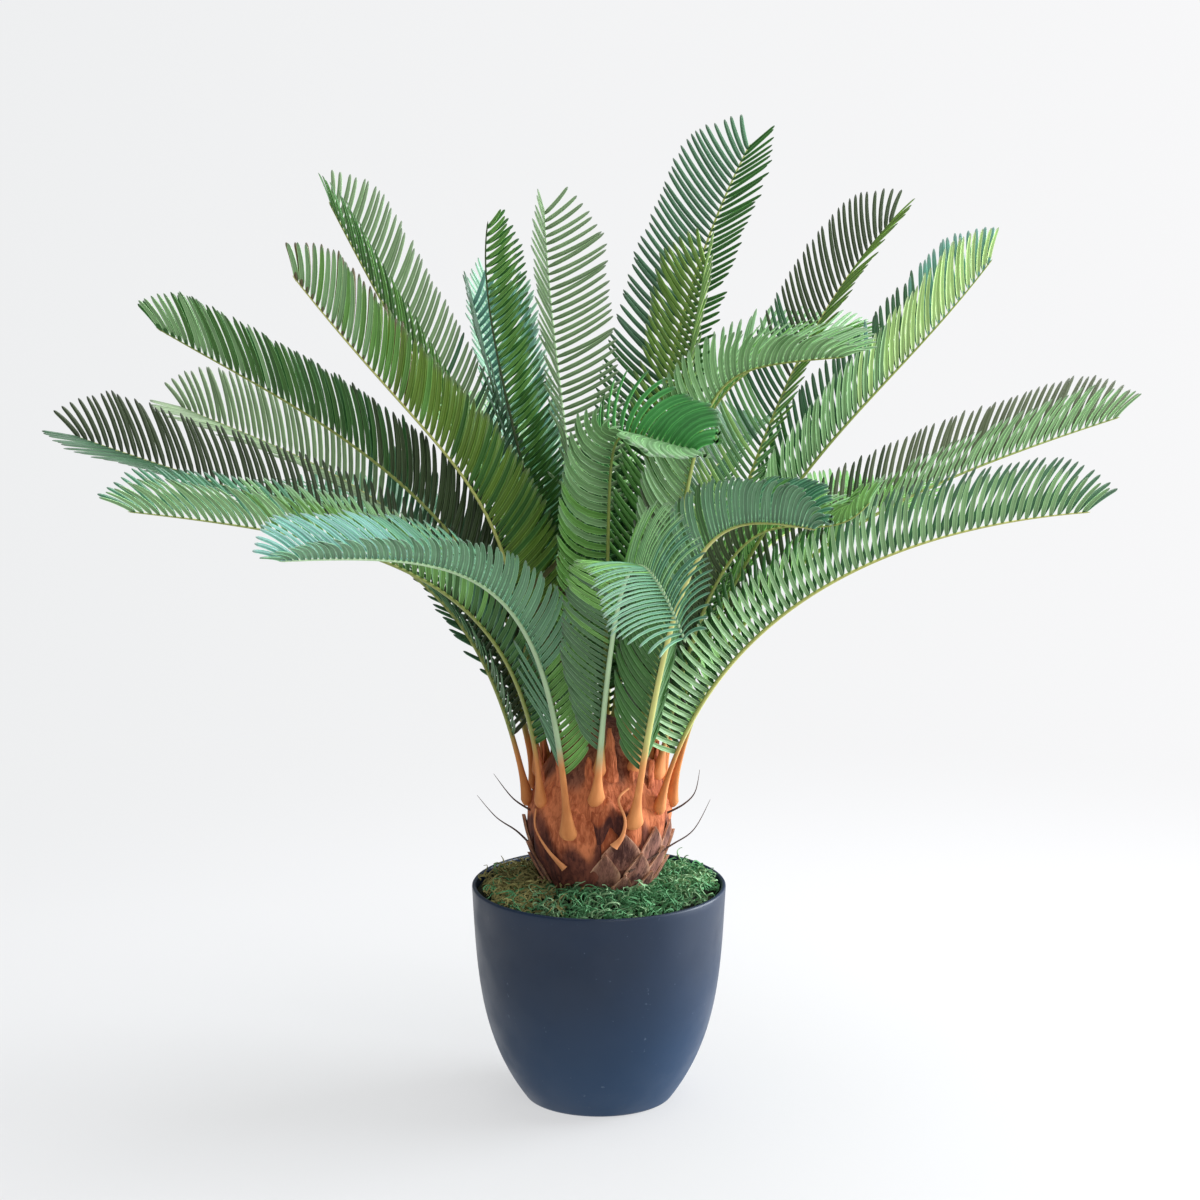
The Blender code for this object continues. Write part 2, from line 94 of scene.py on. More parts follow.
# Lengths in millimetres, angles in degrees, and the leaflets' length as a share of the usual one
Frond = namedtuple(
    "Frond",
    "name at height heading rise rise_by reach top arrive arrive_by"
    " fold_foot fold_tip roll_foot roll_tip lean_foot lean_tip leaf",
    defaults=(40, 40, 0, 0, 28, 42, 1.0),
)
FROND_ROWS = [
    ("left_1", 176, 278, 172, 79, 240, 412, 600, 18, 280, 38, 36, 8, 40),
    ("left_2", 157, 288, 153, 80, 250, 380, 610, 17, 170, 38, 38, 8, 36),
    ("left_3", 154, 308, 165, 84, 240, 368, 692, 28, 160, 72, 72, -4, -4, 30, 44),
    ("left_4", 170, 304, 177, 86, 280, 213, 746, 52, 250, 74, 74, -2, -2),
    ("left_5", 137, 318, 155, 81, 200, 232, 805, 60, 200, 66, 56, -6, 14),
    ("left_6", 128, 296, 132, 82, 240, 120, 715, 70, 160, 48, 48, 0, 0, 25, 39),
    ("left_7", 214, 286, 190, 87, 200, 352, 556, 8, 230, 50, 50, 2, 2, 30, 44),
    ("front_1", 246, 263, 232, 84, 240, 352, 556, 6, 240, 30, 52, -4, 22, 42, 56),
    ("front_2", 272, 318, 312, 86, 360, 118, 614, -2, 140, 32, 38, -14, -38, 12, 50),
    ("front_3", 268, 294, 281, 70, 240, 350, 507, -20, 220, 42, 35, -34, -35, 50, 24),
    ("front_4", 298, 272, 292, 71, 300, 350, 588, 4, 200, 38, 74, -5, 0, 44, 56),
    ("front_5", 346, 306, 332, 78, 340, 198, 564, 50, 90, 45, 45, 0, 0, 36, 50, 0.8),
    ("front_6", 312, 318, 319, 76, 380, 220, 697, 8, 180, 35, 35, -3, -3, 42, 54),
    ("right_1", 28, 315, 26, 63, 210, 250, 790, 43, 190, 38, 38, -17, -17, 34, 48),
    ("right_2", 14, 305, 11, 72, 290, 303, 757, 52, 180, 60, 70, -20, 5),
    ("right_3", 6, 276, 11, 80, 210, 415, 614, 16, 250, 55, 60, -25, -8, 30, 44),
    ("right_4", 328, 280, 351, 78, 160, 367, 555, 6, 200, 55, 60, -8, -4, 25, 39),
    ("right_5", 46, 318, 25, 79, 250, 235, 672, -7, 200, 42, 42, -6, -6, 40, 54),
    ("top_1", 120, 325, 165, 84, 200, 80, 791, 99, 100, 76, 76, 0, 0, 24, 36, 0.64),
    ("top_2", 100, 318, 118, 88, 200, 89, 800, 85, 150, 46, 46, -6, -6, 10, 24, 0.93),
    ("top_3", 74, 322, 48, 82, 250, 190, 856, 50, 160, 33, 33, -10, -10, 22, 36, 1.05),
    ("top_4", 52, 334, 24, 80, 180, 80, 757, 80, 80, 33, 33, -11, -11, 32, 46),
    ("top_5", 112, 302, 115, 79, 220, 200, 725, 78, 140, 40, 40, 0, 0, 25, 39, 0.9),
    ("back_1", 28, 282, 50, 78, 220, 400, 490, -12, 180),
    ("back_2", 50, 278, 72, 76, 240, 400, 560, 0, 180),
    ("back_3", 82, 280, 92, 78, 220, 410, 520, -8, 180),
    ("back_4", 106, 276, 112, 76, 240, 400, 570, 2, 180),
    ("back_5", 142, 278, 135, 78, 220, 400, 490, -12, 180),
]
FRONDS = [Frond(*row) for row in FROND_ROWS]

# Colours of the leaflets, as screen colours: the upper face and the underside. They hold the
# plastic's green together with painted light: the dark tones, such as charcoal, brown and taupe,
# are painted shade, and the grey, bluish and pale tones, such as grey, teal, blue, mist, sage and
# pale, are painted reflection of the studio light
DYES_AND_PAINTED_LIGHT = {
    "charcoal": ((50, 66, 40), (56, 74, 42)),
    "brown": ((92, 84, 52), (90, 86, 52)),
    "taupe": ((88, 98, 76), (88, 98, 74)),
    "grey": ((116, 144, 108), (122, 148, 110)),
    "deep": ((42, 92, 42), (52, 98, 40)),
    "forest": ((44, 98, 34), (58, 104, 40)),
    "olive": ((88, 122, 46), (94, 126, 42)),
    "fresh": ((80, 136, 62), (94, 144, 68)),
    "bright": ((62, 138, 70), (80, 144, 74)),
    "sage": ((108, 154, 106), (116, 156, 108)),
    "teal": ((70, 126, 98), (92, 136, 104)),
    "mist": ((116, 160, 138), (128, 164, 136)),
    "blue": ((96, 150, 140), (110, 154, 136)),
    "slate": ((52, 94, 66), (66, 102, 66)),
    "pale": ((138, 182, 106), (146, 182, 114)),
}
# Colours of the ribs, as screen colours: dark is painted shade on ribs seen from below, the others are
# the plastic's own colours
RIB_DYES_AND_SHADE = {
    "olive": (150, 160, 84),
    "mint": (166, 194, 150),
    "yellow": (190, 190, 110),
    "dark": (60, 74, 40),
}
# One row a frond: its name, the colours of its right and of its left leaflets, each in order from
# foot to tip and holding painted shade and painted reflection as well as the leaflets' own green,
# its rib's colour, how far the leaflets droop in degrees, their width as a share of the usual one,
# how far they curve towards the tip and how much more the right ones lean, both in degrees, and
# how much wider the last ones are
Look = namedtuple("Look", "right left rib droop wide sweep skew spread", defaults=(10, 1, 16, 0, 0))
LOOK_ROWS = [
    ("left_1", "charcoal", "slate", "olive", 8),
    ("left_2", "slate grey", "slate grey", "olive", 8),
    ("left_3", "charcoal charcoal deep forest", "charcoal charcoal charcoal deep forest sage",
     "olive", 8, 1.1, 16, 9),
    ("left_4", "olive olive olive brown", "brown olive forest olive fresh sage", "yellow", 8, 1.1, 16, 4),
    ("left_5", "forest slate grey grey", "olive forest fresh forest", "olive", 8),
    ("left_6", "deep mist blue", "deep slate", "dark"),
    ("left_7", "slate sage teal", "deep fresh sage", "olive", 10, 1, 24),
    ("front_1", "teal teal blue", "fresh teal teal teal", "mint", 16, 1, 26),
    ("front_2", "deep fresh sage sage", "deep slate deep bright bright", "olive", 24, 1.1, 66, 0, 0.7),
    ("front_3", "slate fresh teal", "deep fresh sage teal", "mint", 26, 0.78, 36),
    ("front_4", "deep teal", "deep fresh teal", "yellow", 20, 1, 50),
    ("front_5", "charcoal charcoal fresh", "charcoal charcoal fresh sage", "olive", 14, 1.1, 36),
    ("front_6", "charcoal sage sage sage", "deep olive sage sage", "olive", 16, 1.1, 30),
    ("right_1", "sage olive", "sage pale pale sage slate charcoal charcoal", "yellow", 8, 0.9, 16, -26),
    ("right_2", "fresh sage pale", "charcoal deep slate blue", "olive", 10, 1.1),
    ("right_3", "fresh sage", "charcoal charcoal taupe taupe", "olive", 8, 1, 16, -16),
    ("right_4", "sage", "deep slate", "yellow", 8, 1, 16, -16),
    ("right_5", "sage fresh", "deep sage sage", "olive"),
    ("top_1", "forest", "forest fresh", "dark", 8, 0.82, 16, -5),
    ("top_2", "deep grey grey", "grey", "mint", 6, 0.95),
    ("top_3", "deep forest", "deep slate", "olive", 6, 1.05, 16, -24),
    ("top_4", "pale", "fresh olive", "dark", 8, 1, 16, -8),
    ("top_5", "teal mist", "teal mist", "mint", 8),
    ("back_1", "fresh", "fresh", "olive"),
    ("back_2", "deep slate", "deep slate", "olive"),
    ("back_3", "deep fresh", "deep fresh", "olive"),
    ("back_4", "fresh sage", "fresh sage", "mint"),
    ("back_5", "slate teal", "slate teal", "olive"),
]
LOOKS = {name: Look(*look) for name, *look in LOOK_ROWS}
# How far a leaflet strays from its step in its row's colours, which hold painted shade and painted
# reflection
DYE_AND_LIGHT_MIXING = 0.06
# Light that comes through the thin leaflets, painted in as gains on their colours, and the most that they
# reach
PAINTED_THROUGH_LIGHT_GAIN = (1.48, 1.4, 1.34)
PAINTED_LIGHT_LIMIT = 0.9
# The heights between which the orange of a rib's foot fades into its own colour
ORANGE_TO_Z = 0.318
CLEAN_FROM_Z = 0.352


# Shape rules


def between(low, high, share):
    return low + (high - low) * share


def direction(heading, angle):
    """A unit vector along heading, raised by angle. Both are in degrees."""
    turn, up = radians(heading), radians(angle)
    return Vector((cos(turn) * cos(up), sin(turn) * cos(up), sin(up)))


def pot_radius(z):
    """The pot's outer radius: round at the foot, then nearly straight to the rim."""
    u = max(0, min(1, z / POT_HEIGHT))
    swell = 1 - (1 - u) ** POT_ROUND_POWER
    share = POT_ROUND_SHARE * swell + (1 - POT_ROUND_SHARE) * u
    return between(POT_BASE_RADIUS, POT_RIM_RADIUS, share)


def trunk_radius(z):
    """The bulb's radius: it swells from the moss to its widest and closes as a dome."""
    if z < TRUNK_WIDEST_Z:
        u = (z - FILL_TOP) / (TRUNK_WIDEST_Z - FILL_TOP)
        swell = sin(pi / 2 * max(0, u))
        return between(TRUNK_FOOT_RADIUS, TRUNK_WIDEST_RADIUS, swell)
    u = min(1, (z - TRUNK_WIDEST_Z) / (TRUNK_TOP_Z - TRUNK_WIDEST_Z))
    return between(TRUNK_TOP_RADIUS, TRUNK_WIDEST_RADIUS, 1 - u * u)


def round_spot(turn, r, z):
    return Vector((r * cos(turn), r * sin(turn), z))


def turns(sides):
    return [tau * i / sides for i in range(sides)]


def circle(r, z, sides):
    return [round_spot(turn, r, z) for turn in turns(sides)]


def waves(x, y, z):
    """Smooth noise at a place, from about -1 to 1."""
    return noise.noise(Vector((x, y, z)))


def waves_round(turn, z, rounds, rise):
    """Smooth noise that closes on itself round the upright axis."""
    return waves(rounds * cos(turn), rounds * sin(turn), z * rise)


class Rib:
    """The middle line of a frond, read by the share of its length."""

    def __init__(self, frond):
        self.frond = frond
        foot_z = frond.height / 1000
        foot_out = trunk_radius(foot_z) + STALK_WIDTH / 2 * RIB_DEPTH_SHARE * FOOT_FLARE
        start = round_spot(radians(frond.at), foot_out, foot_z)
        end = start + direction(frond.heading, 0) * (frond.reach / 1000)
        end.z = frond.top / 1000
        first = start + direction(frond.heading, frond.rise) * (frond.rise_by / 1000)
        last = end - direction(frond.heading, frond.arrive) * (frond.arrive_by / 1000)
        self.points = []
        for k in range(CURVE_STEPS + 1):
            t = k / CURVE_STEPS
            s = 1 - t
            ends = start * s**3, first * 3 * s * s * t, last * 3 * s * t * t, end * t**3
            self.points.append(ends[0] + ends[1] + ends[2] + ends[3])
        self.reached = [0.0]
        for a, b in zip(self.points, self.points[1:]):
            self.reached.append(self.reached[-1] + (b - a).length)
        self.length = self.reached[-1]

    def place(self, share):
        want = max(0, min(1, share)) * self.length
        k = 0
        while k < CURVE_STEPS - 1 and self.reached[k + 1] < want:
            k += 1
        step = self.reached[k + 1] - self.reached[k]
        return self.points[k].lerp(self.points[k + 1], (want - self.reached[k]) / step)

    def axes(self, share):
        """Along, side and up at a share of the length, with the frond's roll in them."""
        along = (self.place(share + AXIS_STEP) - self.place(share - AXIS_STEP)).normalized()
        heading = radians(self.frond.heading)
        right = Vector((sin(heading), -cos(heading), 0))
        right = (right - along * right.dot(along)).normalized()
        up = right.cross(along)
        turn = radians(between(self.frond.roll_foot, self.frond.roll_tip, share))
        side = right * cos(turn) + up * sin(turn)
        return along, side, up * cos(turn) - right * sin(turn)


def rib_width(share):
    """Thick at the stalk, thinner where the leaflets start, and fine at the tip."""
    if share < BARE_SHARE:
        return STALK_WIDTH + (RIB_WIDTH - STALK_WIDTH) * share / BARE_SHARE
    return between(RIB_WIDTH, RIB_TIP_WIDTH, (share - BARE_SHARE) / (1 - BARE_SHARE))


def leaflet_length(share):
    """Short at both ends of the row and full length between."""
    size = 1.0
    if share < FULL_FROM:
        size = between(LEAFLET_FIRST, 1, sin(pi / 2 * share / FULL_FROM))
    elif share > FULL_TO:
        size = 1 - (1 - LEAFLET_LAST) * ((share - FULL_TO) / (1 - FULL_TO)) ** TAPER_POWER
    return LEAFLET_LENGTH * size


def leaflet_lean(frond, share):
    """Degrees from square to the rib towards its tip. The last few close in on the tip."""
    last = max(0, (share - LAST_FROM) / (1 - LAST_FROM))
    return between(frond.lean_foot, frond.lean_tip, share) + LEAN_LAST * last**2


# Mesh helpers


def new_object(name, data):
    made = bpy.data.objects.new(name, data)
    bpy.context.scene.collection.objects.link(made)
    return made


def new_mesh(name, points, faces):
    mesh = bpy.data.meshes.new(name)
    mesh.from_pydata([tuple(p) for p in points], [], faces)
    return mesh


class Sketch:
    """Points, faces and values of a mesh that is built up bit by bit."""

    def __init__(self):
        self.points, self.faces, self.kinds, self.values = [], [], [], {}

    def add(self, points, faces, kinds=None, **values):
        base = len(self.points)
        self.points += points
        self.faces += [tuple(base + i for i in face) for face in faces]
        self.kinds += kinds or [0] * len(faces)
        for name, one in values.items():
            self.values.setdefault(name, []).extend(one)
        return self

    def make(self, name, slot, materials, nodes=None, smooth_under=40):
        """The piece that stands for the nodes, or for the one node named as its slot."""
        mesh = new_mesh(name, self.points, self.faces)
        mesh.polygons.foreach_set("material_index", self.kinds)
        for key, numbers in self.values.items():
            mesh.attributes.new(key, "FLOAT", "POINT").data.foreach_set("value", numbers)
        for material in materials:
            mesh.materials.append(material)
        mesh.shade_smooth()
        mesh.set_sharp_from_angle(angle=radians(smooth_under))
        nodes = nodes or [slot]
        piece = new_object(name, mesh)
        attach(piece, "root")
        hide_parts(*nodes)


def skin(rings, closed_ends=True, loop=False):
    """Faces that join rings of equal size in order."""
    sides = len(rings[0])
    points = [p for one in rings for p in one]
    count = len(rings)
    faces = []
    for level in range(count if loop else count - 1):
        low, high = level * sides, ((level + 1) % count) * sides
        for i in range(sides):
            j = (i + 1) % sides
            faces.append((low + i, low + j, high + j, high + i))
    if closed_ends and not loop:
        faces.append(tuple(reversed(range(sides))))
        faces.append(tuple(range((count - 1) * sides, count * sides)))
    return points, faces


def tube(path, radius, sides, flat=1.0, side=None):
    """A closed tube along a path. radius goes by the share of it, and flat squeezes it off side."""
    rings = []
    for k, spot in enumerate(path):
        r = radius(k / (len(path) - 1))
        before, after = path[max(0, k - 1)], path[min(len(path) - 1, k + 1)]
        along = (after - before).normalized()
        if side is None:
            side = along.orthogonal()
        side = (side - along * side.dot(along)).normalized()
        up = along.cross(side)
        ring = []
        for turn in turns(sides):
            ring.append(spot + (side * cos(turn) + up * sin(turn) * flat) * r)
        rings.append(ring)
    return skin(rings)


def patch(spot, columns, rows, thick):
    """A closed curved plate and its values.

    spot(u, v, depth) gives a point and its value, u from -1 to 1 and v from 0 to 1.
    """
    spots, faces = [], []
    for depth in (0.0, thick):
        for j in range(rows + 1):
            spots += [spot(2 * i / columns - 1, j / rows, depth) for i in range(columns + 1)]
    wide = columns + 1
    back = wide * (rows + 1)
    for j in range(rows):
        for i in range(columns):
            a = j * wide + i
            faces.append((a, a + 1, a + 1 + wide, a + wide))
            faces.append((back + a, back + a + wide, back + a + 1 + wide, back + a + 1))
    edge = list(range(wide))
    edge += [j * wide + columns for j in range(1, rows + 1)]
    edge += [rows * wide + i for i in range(columns - 1, -1, -1)]
    edge += [j * wide for j in range(rows - 1, 0, -1)]
    for a, b in zip(edge, edge[1:] + edge[:1]):
        faces.append((b, a, back + a, back + b))
    points, values = zip(*spots)
    return points, faces, values


# Material helpers


def screen(colour):
    """A screen colour of 0 to 255 as the linear colour that the shader takes."""
    out = []
    for level in colour:
        s = level / 255
        out.append(s / 12.92 if s <= 0.04045 else ((s + 0.055) / 1.055) ** 2.4)
    return (*out, 1.0)


def tone(colour, gain, more=0.0):
    """A paler or darker tone of a linear colour."""
    return (*[min(1, level * gain + more) for level in colour[:3]], 1.0)


class Finish:
    """A material and the few kinds of node that it is mixed from."""

    def __init__(self, name, roughness, specular=0.5):
        self.material = bpy.data.materials.new(name)
        self.material.use_nodes = True
        self.tree = self.material.node_tree
        self.shader = self.tree.nodes["Principled BSDF"]
        self.shader.inputs["Roughness"].default_value = roughness
        self.shader.inputs["Specular IOR Level"].default_value = specular

    def node(self, kind, *values, **inputs):
        made = self.tree.nodes.new("ShaderNode" + kind)
        for socket, value in zip(made.inputs, values):
            self.feed(socket, value)
        for key, value in inputs.items():
            self.feed(made.inputs[key], value)
        return made

    def feed(self, socket, value):
        if isinstance(value, bpy.types.NodeSocket):
            self.tree.links.new(value, socket)
        else:
            socket.default_value = value

    def place(self):
        return self.node("TexCoord").outputs["Object"]

    def noise(self, scale, detail=3.0, stretch=(1, 1, 1), rough=0.5, warp=0.0):
        spots = self.node("Mapping", Vector=self.place(), Scale=stretch)
        made = self.node("TexNoise", Scale=scale, Detail=detail, Roughness=rough)
        self.feed(made.inputs["Vector"], spots.outputs["Vector"])
        self.feed(made.inputs["Distortion"], warp)
        return made.outputs["Fac"]

    def height(self):
        return self.node("SeparateXYZ", Vector=self.place()).outputs["Z"]

    def value(self, name):
        made = self.node("Attribute")
        made.attribute_name = name
        return made.outputs["Fac"]

    def spread(self, source, low, high, to_low=0.0, to_high=1.0, smooth=True):
        made = self.node("MapRange", source, low, high, to_low, to_high)
        made.interpolation_type = "SMOOTHSTEP" if smooth else "LINEAR"
        return made.outputs["Result"]

    def sum(self, a, b, how="ADD"):
        made = self.node("Math", a, b)
        made.operation = how
        return made.outputs[0]

    def mix(self, share, a, b):
        """Two colours mixed. One that is given as three levels is a screen colour."""
        made = self.node("Mix")
        made.data_type = "RGBA"
        self.feed(made.inputs[0], share)
        for socket, colour in ((made.inputs[6], a), (made.inputs[7], b)):
            plain = isinstance(colour, tuple) and len(colour) == 3
            self.feed(socket, screen(colour) if plain else colour)
        return made.outputs[2]

    def shade(self, colour, factor):
        """The colour times a number."""
        made = self.node("VectorMath", colour)
        made.operation = "SCALE"
        self.feed(made.inputs["Scale"], factor)
        return made.outputs[0]

    def bump(self, height, strength, distance, under=None):
        made = self.node("Bump", Height=height, Strength=strength, Distance=distance)
        if under:
            self.feed(made.inputs["Normal"], under)
        return made.outputs["Normal"]

    def done(self, colour, roughness=None, normal=None):
        for key, value in (("Base Color", colour), ("Roughness", roughness), ("Normal", normal)):
            if value:
                self.feed(self.shader.inputs[key], value)
        return self.material

    def surface(self, output):
        self.feed(self.tree.nodes["Material Output"].inputs["Surface"], output)


def leaf_finish(name, colour, rough):
    """Moulded plastic leaflets: each its own tint and a dull tip, with a painted highlight along the
    midrib and the edges and painted shade across the body and towards the root.
    """
    f = Finish(name, rough, 0.5)
    # Brightened by the painted light that comes through the thin leaflets
    base = [min(PAINTED_LIGHT_LIMIT, level * gain) for level, gain in zip(screen(colour), PAINTED_THROUGH_LIGHT_GAIN)]
    mottle = f.mix(f.noise(55, 3), tone(base, 0.86), tone(base, 1.12))
    tinted = f.shade(mottle, f.spread(f.value("tint"), 0, 1, 0.84, 1.16))
    # Painted shade: each leaflet darker towards its root
    root_shaded = f.shade(tinted, f.spread(f.value("along"), 0, 0.3, 0.72, 1))
    # A pale colour for the painted highlight on the midrib and the edges; the body between them is
    # darkened as painted shade
    light = tone(base, 1.8, 0.05)
    midrib_highlight = f.spread(f.value("across"), 0, 0.25, 0.24, 0)
    midrib_and_edges_highlit = f.mix(midrib_highlight, f.shade(root_shaded, 0.74), light)
    midrib_and_edges_highlit = f.mix(f.spread(f.value("across"), 0.74, 1, 0, 0.8), midrib_and_edges_highlit, light)
    dull = tone(base, 0.35, sum(base) / 3 * 0.45)
    tipped = f.mix(f.spread(f.value("along"), 0.86, 1, 0, 0.8), midrib_and_edges_highlit, dull)
    uneven = f.spread(f.noise(90, 2), 0.3, 0.7, rough - 0.07, rough + 0.09)
    return f.done(tipped, uneven, f.bump(f.noise(420, 2), 0.12, 0.0003))


def rib_finish(name, colour):
    """A plastic rib, dyed orange at its foot by the fibre, with fine lengthwise grooves."""
    f = Finish(name, 0.45)
    base = screen(colour)
    mottle = f.mix(f.noise(40, 3), tone(base, 0.82), tone(base, 1.12))
    foot = f.mix(f.noise(160, 4, (1, 1, 0.25)), (176, 96, 44), (234, 160, 94))
    level = f.sum(f.height(), f.spread(f.noise(30, 2), 0, 1, -0.012, 0.012, False))
    share = f.spread(level, ORANGE_TO_Z, CLEAN_FROM_Z)
    grooves = f.bump(f.noise(260, 3, (1, 1, 0.12)), 0.25, 0.0006)
    return f.done(f.mix(share, foot, mottle), f.spread(share, 0, 1, 0.8, 0.42, False), grooves)


def pot_finish():
    """Satin slate-blue plastic with faint clouds and a few pale scuffs, and painted light from the
    pale floor that makes it paler and bluer towards the foot.
    """
    f = Finish("pot_slate", 0.38, 0.45)
    cloud = f.mix(f.noise(9, 5, rough=0.6), (4, 26, 48), (14, 42, 72))
    # Painted light from the pale floor: paler and bluer towards the foot
    low = f.mix(f.spread(f.height(), 0, 0.17, 0.7, 0), cloud, (4, 58, 96))
    specks = f.spread(f.noise(130, 5, rough=0.65), 0.66, 0.74, 0, 0.35)
    colour = f.mix(specks, low, (110, 128, 150))
    uneven = f.spread(f.noise(26, 4), 0.3, 0.7, 0.36, 0.52)
    grain = f.bump(f.noise(900, 2), 0.1, 0.0003, f.bump(f.noise(14, 2), 0.1, 0.002))
    return f.done(colour, uneven, grain)


def filling_finish():
    f = Finish("filling_cast", 0.95, 0.2)
    colour = f.mix(f.noise(60, 5), (112, 100, 84), (156, 146, 128))
    return f.done(colour, None, f.bump(f.noise(240, 4), 0.5, 0.001))


def moss_finish(name, dark, light):
    f = Finish(name, 0.85, 0.25)
    colour = f.mix(f.noise(70, 4, rough=0.65), dark, light)
    tinted = f.shade(colour, f.spread(f.noise(14, 2), 0.3, 0.7, 0.65, 1.2))
    return f.done(tinted, None, f.bump(f.noise(600, 3), 0.4, 0.0006))


# Tones of the bulb's fibre, each a dark and a light screen colour
DARK_COIR = ((58, 32, 28), (118, 76, 62))
DARK_SCALE = ((66, 38, 34), (140, 96, 82))
ORANGE_COIR = ((148, 74, 44), (208, 124, 82))
LOW_COIR = ((52, 26, 26), (108, 60, 48))
# The pale edges of the leaf bases: partly their own paler fibre, partly a painted highlight along the
# raised edges
PALE_EDGE = ((170, 118, 92), (214, 168, 138))
STRAP_COIR = ((182, 104, 58), (236, 166, 110))


def fibre_finish(name, tones, grain, mask, over):
    """Matted plant fibre that runs up the trunk, in two pairs of tones mixed by a value."""
    f = Finish(name, 0.88, 0.25)
    strands = f.noise(330, 5, (1, 1, grain), 0.62, 0.6)
    broad = f.noise(38, 4, (1, 1, 0.5), 0.6, 0.4)
    share = f.spread(f.sum(f.sum(strands, broad), 0.5, "MULTIPLY"), 0.39, 0.6)
    colour = f.mix(f.value(mask), f.mix(share, *tones), f.mix(share, *over))
    normal = f.bump(strands, 0.5, 0.0012, f.bump(broad, 0.55, 0.005))
    return f.done(colour, None, normal)


def strand_finish(name, dark, light):
    """A single strand of fibre, grained along its length."""
    f = Finish(name, 0.75, 0.3)
    colour = f.mix(f.noise(120, 3, (1, 1, 0.3)), dark, light)
    return f.done(colour, None, f.bump(f.noise(500, 2), 0.2, 0.0004))


# Pot, filling and moss


POT_SIDES = 160
POT_STEPS = 40
POT_FLOOR = 0.006
LIP_STEPS = 8
# The pot's softened foot: how far in from the foot's radius, and how high
POT_FOOT = ((0.004, 0.0), (0.0015, 0.0004))


def make_pot():
    """A turned shell with a rounded lip and a softened foot."""
    lip = POT_WALL / 2
    lip_z = POT_HEIGHT - lip
    heights = [POT_HEIGHT * (k / POT_STEPS) ** 1.4 for k in range(POT_STEPS + 1)]
    outline = [(pot_radius(0) - inset, z) for inset, z in POT_FOOT]
    outline += [(pot_radius(z), z) for z in heights if 0.001 < z < lip_z]
    middle = pot_radius(lip_z) - lip
    for k in range(LIP_STEPS + 1):
        turn = pi * k / LIP_STEPS
        outline.append((middle + lip * cos(turn), lip_z + lip * sin(turn)))
    inner = [z for z in reversed(heights) if POT_FLOOR < z < lip_z]
    outline += [(pot_radius(z) - POT_WALL, z) for z in inner]
    shell = Sketch().add(*skin([circle(r, z, POT_SIDES) for r, z in outline]))
    shell.make("pot_shell", "pot", [pot_finish()], smooth_under=50)


MOSS_SIDES = 180
MOSS_STEPS = 14
MOSS_TUFTS = 1500
MOSS_CLUMP = 0.015
CURL_STEPS = 9
STRANDS_A_TUFT = 4
TUFT_SPREAD = 0.0035
OLIVE_SIDE = 172
MOSS_TONES = {
    "green": ((34, 96, 56), (124, 184, 130)),
    "leafy": ((74, 130, 78), (184, 220, 172)),
    "olive": ((66, 70, 34), (196, 186, 124)),
}
# The gap that parts one solid from the next
CLEAR = 0.0006


def moss_height(turn, share):
    """The height of the moss. share runs from 0 at the trunk to 1 at the pot's wall."""
    lumps = waves_round(turn, share, 3.0, 6.0)
    fine = waves_round(turn, share, 9.0, 18.0)
    rise = MOSS_RISE + MOSS_MOUND * (1 - share) ** 2
    return FILL_TOP + rise + 0.003 * lumps + 0.0035 * fine


def moss_spot(turn, share):
    z = moss_height(turn, share)
    inner, outer = trunk_radius(z) - 0.001, pot_radius(z) - POT_WALL - CLEAR
    return round_spot(turn, between(inner, outer, share), z)


def moss_ring(share):
    return [moss_spot(turn, share) for turn in turns(MOSS_SIDES)]


def make_moss_bed():
    """A dark collar, flat below and lumpy above, that the tufts stand on. Its dark colour is
    painted shade in the gaps between the tufts.
    """
    rings = []
    for share in (0.0, 1.0):
        rings.append([Vector((p.x, p.y, FILL_TOP + CLEAR)) for p in moss_ring(share)])
    rings += [moss_ring(1 - k / MOSS_STEPS) for k in range(MOSS_STEPS + 1)]
    # Near-black colours: painted shade that shows between the tufts
    finish = moss_finish("moss_bed_painted_shade", (10, 16, 8), (34, 42, 22))
    Sketch().add(*skin(rings, loop=True)).make("moss_bed", "moss", [finish])


def curl(rng, start, length, width):
    """A curly strand that rises from start and winds back down."""
    heading = rng.uniform(0, 360)
    angle = rng.uniform(15, 75)
    turn_by, fall_by = rng.uniform(-38, 38), rng.uniform(6, 26)
    path = [start]
    for _ in range(CURL_STEPS):
        path.append(path[-1] + direction(heading, angle) * length / CURL_STEPS)
        heading += turn_by + rng.uniform(-14, 14)
        angle -= fall_by * rng.uniform(0.2, 1.6)
        if angle < -60:
            fall_by = -fall_by
    return tube(path, lambda share: width * (1 - 0.7 * share), 3)


